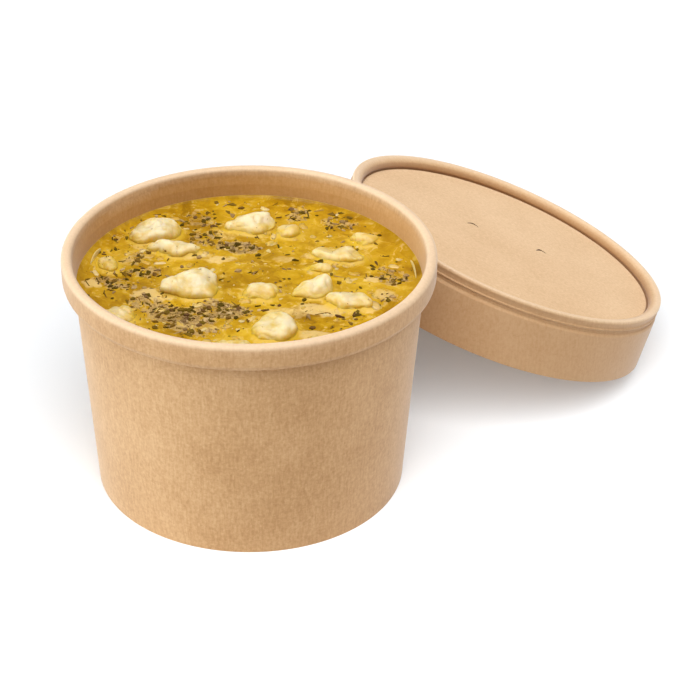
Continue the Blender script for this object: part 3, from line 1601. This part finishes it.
    def curds(self, broth: bpy.types.Object, weights: np.ndarray) -> None:
        """Lay the pale bits."""
        finish = Curd().material()
        shapes = self.collect("curd_shapes", (self.curd(self.curd_seed + k) for k in range(self.curd_kinds)))
        tree = ScatterTree("curd_scatter", shapes, finish)
        sizes = {"Smallest": 0.35, "Largest": 2.2, "Tip": 0.12, "Rarity": 2.5}
        mesh = tree.grow(broth.data, weights, {"Density": self.curd_density, "Seed": 9} | sizes)
        shade_smooth(mesh)
        new_piece("pale_curds", mesh, finish)
        log.info("curds: %d faces", len(mesh.polygons))
        self.clear(shapes)

    def herbs(self, broth: bpy.types.Object, flesh: list[bpy.types.Object], weights: np.ndarray) -> None:
        """Lay the flakes on the broth and a few on the pieces."""
        finish = HerbLeaf().material()
        made = [self.flake(self.flake_seed + k) for k in range(self.flake_kinds)]
        made.append(self.stalk(self.stalk_seed))
        shapes = self.collect("herb_shapes", made)
        tree = ScatterTree("herb_scatter", shapes, finish)
        sizes = {"Smallest": 0.26, "Largest": 1.9, "Tip": 0.2, "Rarity": 2.2}
        settings = {"Density": self.flake_density, "Seed": 4} | sizes
        floating = tree.grow(broth.data, weights, settings)
        new_piece("herb_flakes", floating, finish)
        log.info("herbs: %d faces", len(floating.polygons))
        for k, chunk in enumerate(flesh):
            heights = np.array([v.co.z for v in chunk.data.vertices])
            upper = (heights > heights.max() - self.piece_top).astype(float) * self.piece_share
            small = {"Largest": 0.6, "Tip": 0.1, "Seed": self.piece_seed + k}
            bits = tree.grow(chunk.data, upper, settings | small)
            if len(bits.polygons):
                new_piece(f"herb_on_{chunk.name.removeprefix('flesh_')}", bits, finish)
        self.clear(shapes)


@dataclass(frozen=True)
class SoftSun:
    """One far soft light: its direction, strength, width and tint, and what it shines on."""

    name: str
    towards: Triple
    strength: float
    spread_degrees: float
    tint: Colour
    shines: Shines

    def build(self, floor: bpy.types.Object) -> None:
        """Hang the light and link it to the floor alone, or to all but the floor."""
        data = bpy.data.lights.new(self.name, "SUN")
        data.energy = self.strength
        data.angle = math.radians(self.spread_degrees)
        data.color = self.tint
        lamp = link(self.name, data)
        lamp.rotation_mode = "QUATERNION"
        lamp.rotation_quaternion = Vector(self.towards).to_track_quat("-Z", "Y")
        group = bpy.data.collections.new(f"{self.name}_receivers")
        group.objects.link(floor)
        group.collection_objects[0].light_linking.link_state = self.shines.value
        lamp.light_linking.receiver_collection = group


@dataclass
class Studio:
    """Camera at the photo's angle, pale floor and soft light.

    A low light from the left and a broad one above shine on the object, and the floor has one of its own.
    Elevation and roll are in radians.
    """

    elevation: float = 0.5504
    roll: float = 0.0153
    distance: float = 805.0 * MM
    aim_right: float = 31.142 * MM
    aim_up: float = 36.95 * MM
    focal_px: float = 2500.04
    frame_px: float = 700.0
    sensor: float = 36.0
    clip: tuple[float, float] = (0.01, 20.0)
    floor_reach: float = 6.0
    glow: float = 0.18
    seen_glow: float = 1.05
    glow_tint: Colour = (0.97, 0.98, 1.0)
    suns: tuple[SoftSun, ...] = (
        SoftSun("side_key", (0.94, 0.18, -0.21), 3.1, 46.0, (0.93, 1.05, 1.12), Shines.ON_OBJECT),
        SoftSun("top_soft", (-0.1, 0.18, -0.98), 4.1, 80.0, (0.96, 1.0, 1.06), Shines.ON_OBJECT),
        SoftSun("floor_soft", (-0.02, 1.0, -1.0), 5.4, 72.0, (1.0, 1.0, 1.0), Shines.ON_FLOOR),
    )

    def camera(self, cup: PaperCup) -> None:
        """Place the camera from the fit of the cup's outline."""
        e = self.elevation
        forward = Vector((0.0, math.cos(e), -math.sin(e)))
        up = Vector((0.0, math.sin(e), math.cos(e)))
        right = Vector((1.0, 0.0, 0.0))
        side = right * math.cos(self.roll) + up * math.sin(self.roll)
        top = up * math.cos(self.roll) - right * math.sin(self.roll)
        spot = cup.axis - forward * self.distance + right * self.aim_right + up * self.aim_up
        data = bpy.data.cameras.new("photo_camera")
        data.sensor_width = self.sensor
        data.lens = self.focal_px / self.frame_px * data.sensor_width
        data.clip_start, data.clip_end = self.clip
        camera = link("photo_camera", data)
        camera.matrix_world = Matrix.Translation(spot) @ Matrix((side, top, -forward)).transposed().to_4x4()
        bpy.context.scene.camera = camera

    def floor(self) -> bpy.types.Object:
        """Lay the floor."""
        reach = self.floor_reach
        mesh = bpy.data.meshes.new("studio_floor")
        corners = [(-reach, -reach, 0), (reach, -reach, 0), (reach, reach, 0), (-reach, reach, 0)]
        mesh.from_pydata(corners, [], [(0, 1, 2, 3)])
        mesh.materials.append(StudioFloor().material())
        floor = link("studio_floor", mesh)
        return floor

    def world(self) -> None:
        """A dim even glow all round, which the camera sees as white."""
        world = bpy.data.worlds.new("studio")
        bpy.context.scene.world = world
        world.use_nodes = True
        tree = world.node_tree
        back = tree.nodes["Background"]
        back.inputs["Color"].default_value = (*self.glow_tint, 1.0)
        seen = tree.nodes.new("ShaderNodeLightPath")
        strength = tree.nodes.new("ShaderNodeMapRange")
        strength.inputs["To Min"].default_value = self.glow
        strength.inputs["To Max"].default_value = self.seen_glow
        tree.links.new(seen.outputs["Is Camera Ray"], strength.inputs["Value"])
        tree.links.new(strength.outputs[0], back.inputs["Strength"])
        view = bpy.context.scene.view_settings
        view.view_transform = "Standard"
        view.look = "None"

    def build(self, cup: PaperCup) -> None:
        """Set up camera, floor, world and lights."""
        self.camera(cup)
        self.world()
        floor = self.floor()
        for sun in self.suns:
            sun.build(floor)
        log.info("studio: %d lights", len(self.suns))


def main() -> None:
    """Build every sub-assembly in order and note the sizes."""
    logging.basicConfig(level=logging.INFO, format="%(name)s %(message)s")
    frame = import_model()
    cup = PaperCup()
    cup.build()
    LeaningLid().build(cup)
    soup = SoupSurface()
    flesh = CookedPieces().build(frame, cup, soup)
    broth = soup.build(cup, flesh)
    PaleStrips().build(frame)
    Sprinkles().build(cup, soup, broth, flesh)
    Studio().build(cup)


if __name__ == "__main__":
    main()
